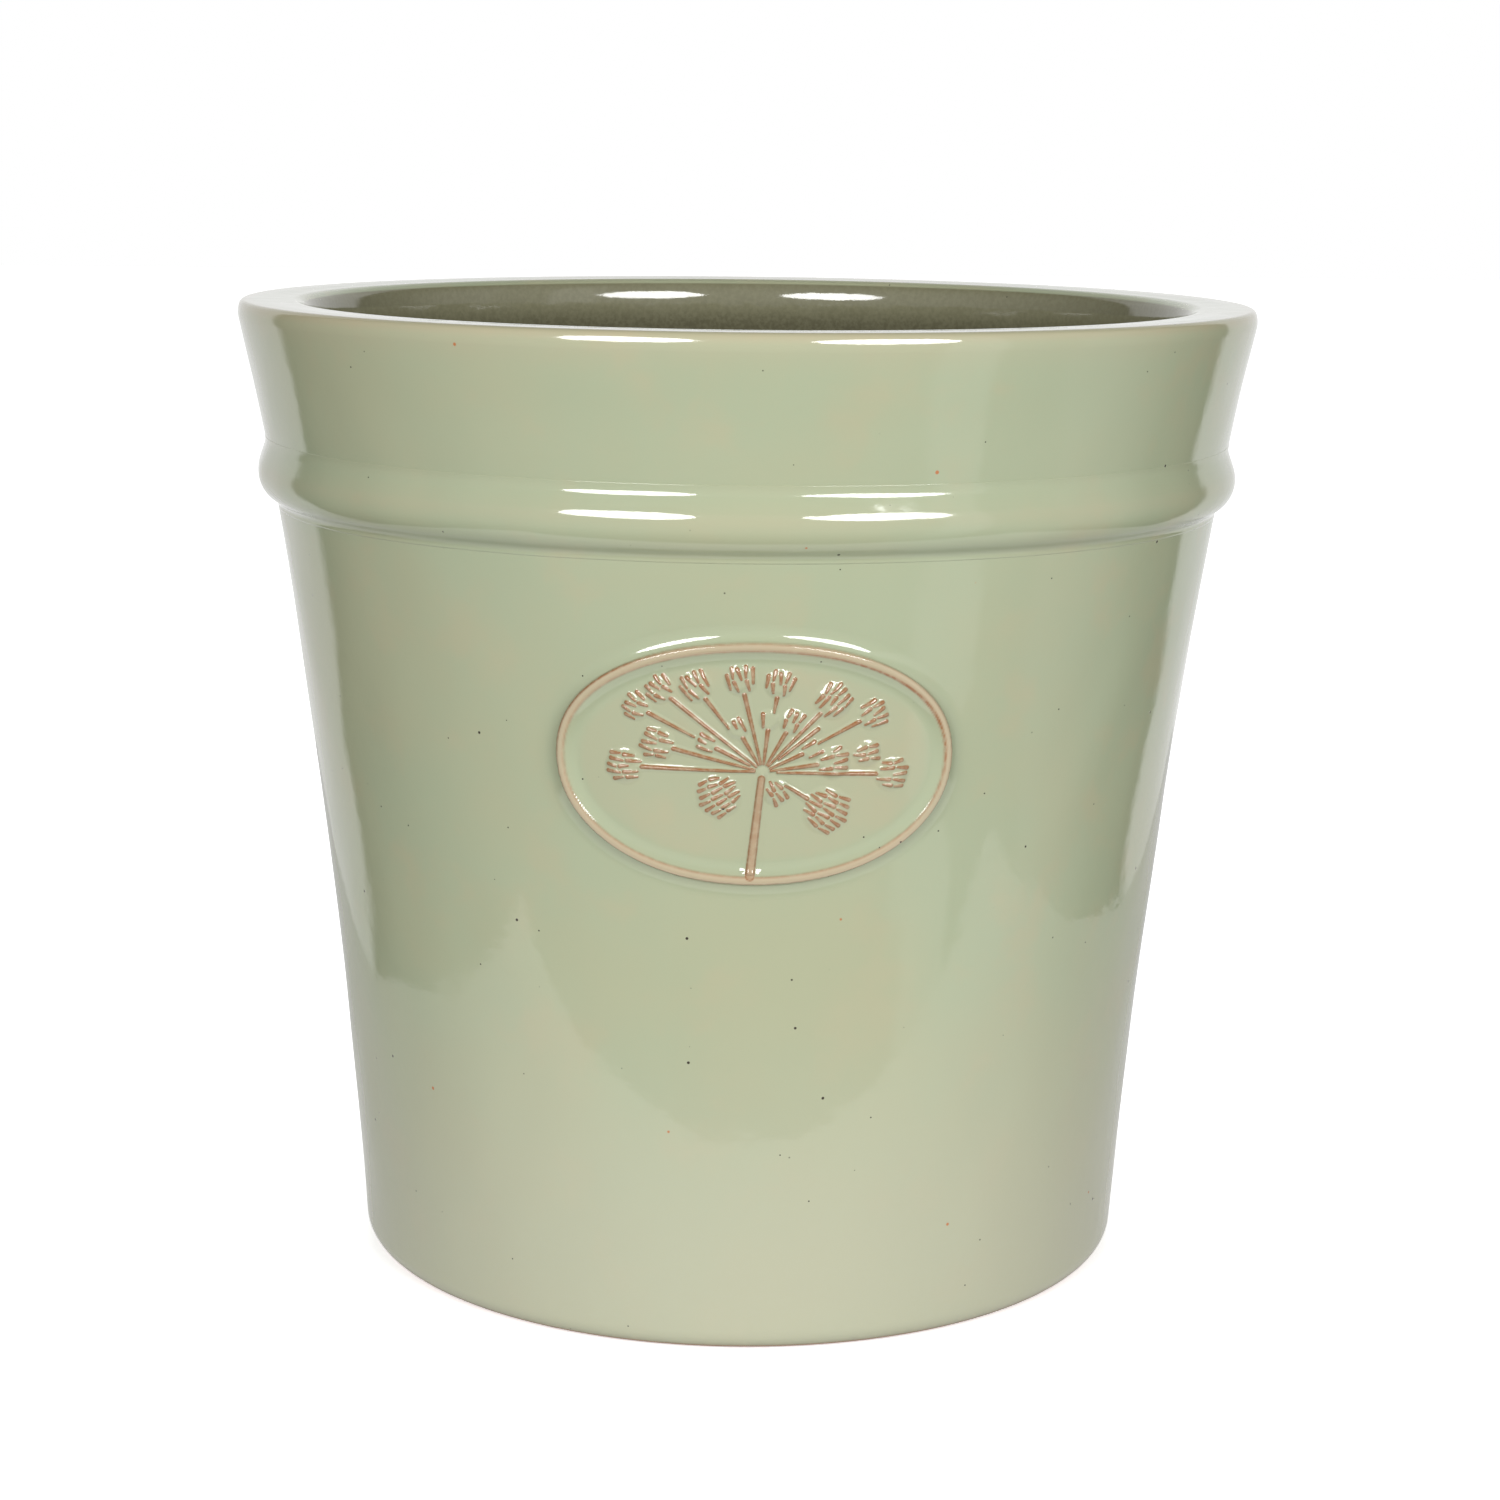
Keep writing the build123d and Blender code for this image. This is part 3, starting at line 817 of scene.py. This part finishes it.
def glaze(name):
    """Glossy sage glaze over terracotta, driven by the pieces' own colour weights, which also carry
    painted shade on the border; by height it paints light towards the foot and shade inside the
    mouth.
    """
    tree = Tree(bpy.data.materials.new(name))
    cloud = tree.noise(11.0, 3.0, 0.55)
    patch = tree.noise(34.0, 3.0, 0.6, offset=(0.3, 0.1, 0.7))
    grain = tree.noise(520.0, 2.0, 0.6)
    colour = tree.mix(tree.ramp(cloud, 0.35, 0.65), SAGE_GREEN, SAGE)
    colour = tree.mix(tree.ramp(patch, 0.5, 0.72, 0.0, 0.75), colour, SAGE_WARM)
    colour = tree.mix(tree.math("MULTIPLY", tree.attribute("pool"), 0.9), colour, SAGE_GREEN)
    split = tree.add("ShaderNodeSeparateXYZ")
    tree.link(tree.position(), split.inputs["Vector"])
    height = split.outputs["Z"]
    # Painted light and reflection from the white table: paler towards the foot.
    colour = tree.mix(tree.ramp(height, *TABLE_LIGHT_FOOT, 0.75, 0.0), colour, SAGE_TABLE_LIGHT)
    # Painted shade in the mouth: darkest just under the lip, lighter at the lip and lower down.
    inside = tree.mix(tree.ramp(height, *SHADE_TO_INSIDE), INSIDE_PAINTED_SHADE, INSIDE)
    inside = tree.mix(tree.ramp(height, *LOW_TO_SHADE), INSIDE_LOW, inside)
    colour = tree.mix(tree.attribute("inside"), colour, inside)
    wear = tree.math("MULTIPLY", tree.attribute("thin"), tree.ramp(patch, 0.2, 0.6, 0.75, 1.0))
    colour = tree.mix(wear, colour, BUFF)
    # Brown where the glaze breaks; along the badge's border this also holds painted shade.
    broken = tree.ramp(tree.noise(420.0, 2.0, 0.6, offset=(1.1, 0.2, 0.5)), 0.3, 0.6, 0.55, 1.0)
    colour = tree.mix(tree.math("MULTIPLY", tree.attribute("line"), broken), colour, BROWN)
    speck = tree.ramp(grain, 0.3, 0.7, 0.0, 0.1)
    colour = tree.mix(speck, colour, SAGE_WARM)
    pinholes = tree.math("MAXIMUM", tree.spots(85.0, 0.055, 0.3, (0, 0, 0)),
                         tree.spots(190.0, 0.07, 0.12, (0.7, 0.2, 0.4)))
    colour = tree.mix(pinholes, colour, PINHOLE)
    colour = tree.mix(tree.spots(70.0, 0.06, 0.12, (0.4, 0.8, 0.1)), colour, RUST)
    bare = tree.attribute("bare")
    colour = tree.mix(bare, colour, CLAY)
    tree.link(colour, tree.shader().inputs["Base Color"])
    gloss = tree.ramp(tree.noise(60.0, 2.0, 0.5), 0.3, 0.7, 0.045, 0.085)
    rough = tree.add("ShaderNodeMix", data_type="FLOAT")
    tree.link(bare, rough.inputs["Factor"])
    tree.link(gloss, rough.inputs["A"])
    rough.inputs["B"].default_value = 0.75
    tree.link(rough.outputs["Result"], tree.shader().inputs["Roughness"])
    tree.shader().inputs["IOR"].default_value = 1.6
    peel = tree.math("MULTIPLY", tree.noise(230.0, 2.0, 0.5, offset=(0.2, 0.9, 0.4)), 0.22)
    surface = tree.math("ADD", tree.noise(75.0, 2.0, 0.5), peel)
    surface = tree.math("ADD", surface, tree.math("MULTIPLY", grain, 0.06))
    surface = tree.math("SUBTRACT", surface, tree.math("MULTIPLY", pinholes, 0.5))
    relief = tree.add("ShaderNodeBump")
    relief.inputs["Strength"].default_value = 0.25
    relief.inputs["Distance"].default_value = 0.0004
    tree.link(surface, relief.inputs["Height"])
    tree.link(relief.outputs["Normal"], tree.shader().inputs["Normal"])
    return tree.owner


def dress(piece, material, slot_name, *nodes):
    """Give a piece its material and its body, and hide the CAD nodes that it stands for. slot_name is
    not used.
    """
    piece.data.materials.append(material)
    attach(piece, "root")
    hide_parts(*nodes)


# ---------------------------------------------------------------- stage, light and camera

# The room's light by bearing from the front, in degrees, positive to the right.
ROOM = [
    (-180.0, 0.97),
    (-131.5, 0.95),
    (-129.0, 0.06),
    (-100.0, 0.26),
    (-62.0, 0.56),
    (-45.0, 0.62),
    (41.5, 0.62),
    (43.0, 1.05),
    (56.0, 1.05),
    (57.5, 0.50),
    (75.0, 0.50),
    (77.0, 0.66),
    (92.0, 0.50),
    (112.0, 0.12),
    (130.0, 0.06),
    (133.0, 1.0),
    (180.0, 0.97),
]
ROOM_LIGHT = 1.05
CEILING_SHARE = 0.12
FLOOR_REACH = 8000.0
FLOOR_GLOW_NEAR = 0.5        # the floor glows less close to the pot
FLOOR_GLOW_FAR = 1.0
TABLE_LEFT = -400.0
TABLE_RIGHT = 490.0
TABLE_FRONT = -305.0
TABLE_BACK = 900.0
TABLE_DROP = 0.5             # the table top is this far under the floor
TABLE_GLOW_FRONT = 0.9
TABLE_GLOW_BACK = 0.42
LIGHT_AIM = Vector((0, 0, 300 * MM))
CAMERA_LENS = 76.34
CAMERA_SENSOR = 36.0
CAMERA_DISTANCE = 1208.0     # level, from the pot's axis
CAMERA_HEIGHT = 427.3
CAMERA_BEARING = -1.4        # degrees, as are the three below
CAMERA_AIM_RIGHT = 0.126
CAMERA_AIM_DOWN = 11.17
CAMERA_ROLL = 0.66


def flat_quad(name, left, right, front, back, height):
    """A level rectangle, in millimetres."""
    outline = [(left, front), (right, front), (right, back), (left, back)]
    corners = np.array([(x, y, height) for x, y in outline], float)
    return mesh_object(name, corners, np.array([[0, 1, 2, 3]]))


def white_surface(name):
    """A matt white surface, with how far each of its points lies from the origin."""
    tree = Tree(bpy.data.materials.new(name))
    shader = tree.shader()
    shader.inputs["Base Color"].default_value = (0.9, 0.9, 0.9, 1.0)
    shader.inputs["Roughness"].default_value = 0.9
    shader.inputs["Specular IOR Level"].default_value = 0.0
    shader.inputs["Emission Color"].default_value = (1.0, 1.0, 1.0, 1.0)
    reach = tree.add("ShaderNodeVectorMath", operation="LENGTH")
    tree.link(tree.position(), reach.inputs[0])
    return tree, reach.outputs["Value"]


def make_floor():
    """A pale floor that runs out into the white sweep. Only the camera sees it. Its glow is weaker
    close to the pot: painted shade round the foot.
    """
    floor = flat_quad("floor", -FLOOR_REACH, FLOOR_REACH, -FLOOR_REACH, FLOOR_REACH, 0.0)
    tree, reach = white_surface("pale_floor")
    # Painted shade: the floor glows less close to the pot.
    glow = tree.ramp(reach, 0.14, 0.28, FLOOR_GLOW_NEAR, FLOOR_GLOW_FAR)
    tree.link(glow, tree.shader().inputs["Emission Strength"])
    floor.data.materials.append(tree.owner)
    floor.visible_diffuse = False
    floor.visible_glossy = False


def make_table():
    """The white table top that the glaze mirrors and that lights the wall from below. Its glow is
    painted light, stronger in front than behind the pot, with none under the foot as painted shade.
    """
    table = flat_quad("table_top", TABLE_LEFT, TABLE_RIGHT, TABLE_FRONT, TABLE_BACK, -TABLE_DROP)
    tree, reach = white_surface("white_table")
    split = tree.add("ShaderNodeSeparateXYZ")
    tree.link(tree.position(), split.inputs["Vector"])
    # Painted light: the table glows more in front of the pot than behind it.
    glow = tree.ramp(split.outputs["Y"], -0.28, 0.0, TABLE_GLOW_FRONT, TABLE_GLOW_BACK)
    # Painted shade: no glow under the pot's foot.
    lit = tree.ramp(reach, 0.138, 0.149)
    tree.link(tree.math("MULTIPLY", glow, lit), tree.shader().inputs["Emission Strength"])
    table.data.materials.append(tree.owner)
    table.visible_camera = False
    table.visible_shadow = False


def room_colour(tree, direction):
    """The room's light by bearing, as a share of ROOM_LIGHT."""
    front = tree.math("MULTIPLY", direction["Y"], -1.0)
    bearing = tree.math("ARCTAN2", direction["X"], front)
    ramp = tree.add("ShaderNodeValToRGB")
    stops = ramp.color_ramp.elements
    while len(stops) < len(ROOM):
        stops.new(0.5)
    for stop, (degrees, level) in zip(stops, ROOM):
        share = level / ROOM_LIGHT
        stop.position = (degrees + 180) / 360
        stop.color = (share, share, share, 1)
    tree.link(tree.ramp(bearing, -pi, pi, curve="LINEAR"), ramp.inputs["Fac"])
    return ramp.outputs["Color"]


def make_world():
    """A white sweep behind the pot and a dim room in front; the camera sees plain white."""
    world = bpy.data.worlds.new("studio")
    bpy.context.scene.world = world
    tree = Tree(world)
    split = tree.add("ShaderNodeSeparateXYZ")
    tree.link(tree.add("ShaderNodeTexCoord").outputs["Generated"], split.inputs["Vector"])
    direction = split.outputs
    height = tree.math("ABSOLUTE", direction["Z"])
    ceiling = ROOM_LIGHT * CEILING_SHARE
    room = tree.nodes["Background"]
    tree.link(tree.ramp(height, 0.35, 0.85, ROOM_LIGHT, ceiling, "LINEAR"), room.inputs["Strength"])
    tree.link(room_colour(tree, direction), room.inputs["Color"])
    white = tree.add("ShaderNodeBackground")
    white.inputs["Color"].default_value = (1, 1, 1, 1)
    choice = tree.add("ShaderNodeMixShader")
    tree.link(tree.add("ShaderNodeLightPath").outputs["Is Camera Ray"], choice.inputs["Fac"])
    tree.link(room.outputs["Background"], choice.inputs[1])
    tree.link(white.outputs["Background"], choice.inputs[2])
    tree.link(choice.outputs["Shader"], tree.nodes["World Output"].inputs["Surface"])


def make_softbox(name, bearing, elevation, distance, width, height, power):
    """A softbox aimed at the pot; bearing is degrees from the front, positive to the right."""
    lamp = bpy.data.lights.new(name, "AREA")
    lamp.shape = "ELLIPSE"
    lamp.size = width
    lamp.size_y = height
    lamp.energy = power
    holder = bpy.data.objects.new(name, lamp)
    bpy.context.scene.collection.objects.link(holder)
    level = cos(radians(elevation))
    out_x = sin(radians(bearing)) * level
    out_y = -cos(radians(bearing)) * level
    toward = Vector((out_x, out_y, sin(radians(elevation))))
    holder.location = LIGHT_AIM + toward * distance
    holder.rotation_euler = toward.to_track_quat("Z", "Y").to_euler()
    return holder


def make_mouth_light():
    """A soft spot straight above the mouth, so that the inside isn't black from above."""
    lamp = bpy.data.lights.new("mouth_light", "SPOT")
    lamp.energy = 170.0
    lamp.spot_size = radians(8.6)
    lamp.spot_blend = 0.5
    lamp.shadow_soft_size = 0.05
    holder = bpy.data.objects.new("mouth_light", lamp)
    bpy.context.scene.collection.objects.link(holder)
    holder.location = (0, 0, 2.36)
    holder.visible_glossy = False


def make_camera():
    """The camera: a little above the pot and slightly to its left, tilted down."""
    lens = bpy.data.cameras.new("camera")
    lens.lens = CAMERA_LENS
    lens.sensor_width = CAMERA_SENSOR
    camera = bpy.data.objects.new("camera", lens)
    bpy.context.scene.collection.objects.link(camera)
    bearing = radians(CAMERA_BEARING)
    x = sin(bearing) * CAMERA_DISTANCE * MM
    y = -cos(bearing) * CAMERA_DISTANCE * MM
    place = Matrix.Translation((x, y, CAMERA_HEIGHT * MM))
    turn = Matrix.Rotation(bearing - radians(CAMERA_AIM_RIGHT), 4, "Z")
    tilt = Matrix.Rotation(radians(90.0 - CAMERA_AIM_DOWN), 4, "X")
    roll = Matrix.Rotation(radians(CAMERA_ROLL), 4, "Z")
    camera.matrix_world = place @ turn @ tilt @ roll
    bpy.context.scene.camera = camera


# ---------------------------------------------------------------- the stage is set

make_camera()
make_world()
make_floor()
make_table()
make_softbox("softbox_left", -26.5, 17.0, distance=1.7, width=0.86, height=0.50, power=17.3)
make_softbox("softbox_right", 27.5, 17.0, distance=1.7, width=0.92, height=0.50, power=18.6)
back_fill = make_softbox("back_fill", 180.0, 18.0, distance=2.2, width=1.6, height=1.2, power=38.0)
back_fill.visible_glossy = False
back_fill.visible_camera = False
make_mouth_light()

# ---------------------------------------------------------------- the pot

sage_glaze = glaze("glazed_sage")
dress(make_wall(), sage_glaze, "sage_glaze", "pot_wall")
dress(make_band(), sage_glaze, "sage_glaze", "wall_band")
dress(make_base(), glaze("glazed_base"), "base_glaze", "pot_base")
badge = make_badge()
dress(badge["plaque"], glaze("glazed_badge"), "badge_glaze", "badge_plaque")
dress(badge["border"], glaze("glazed_border"), "buff_glaze", "badge_border")
relief_glaze = glaze("glazed_relief")
dress(badge["stem"], relief_glaze, "relief_glaze", "umbel_stem")
dress(badge["rays"], relief_glaze, "relief_glaze", "umbel_rays")
dress(badge["florets"], relief_glaze, "relief_glaze", "umbel_florets")

bpy.context.scene.view_settings.view_transform = "Standard"
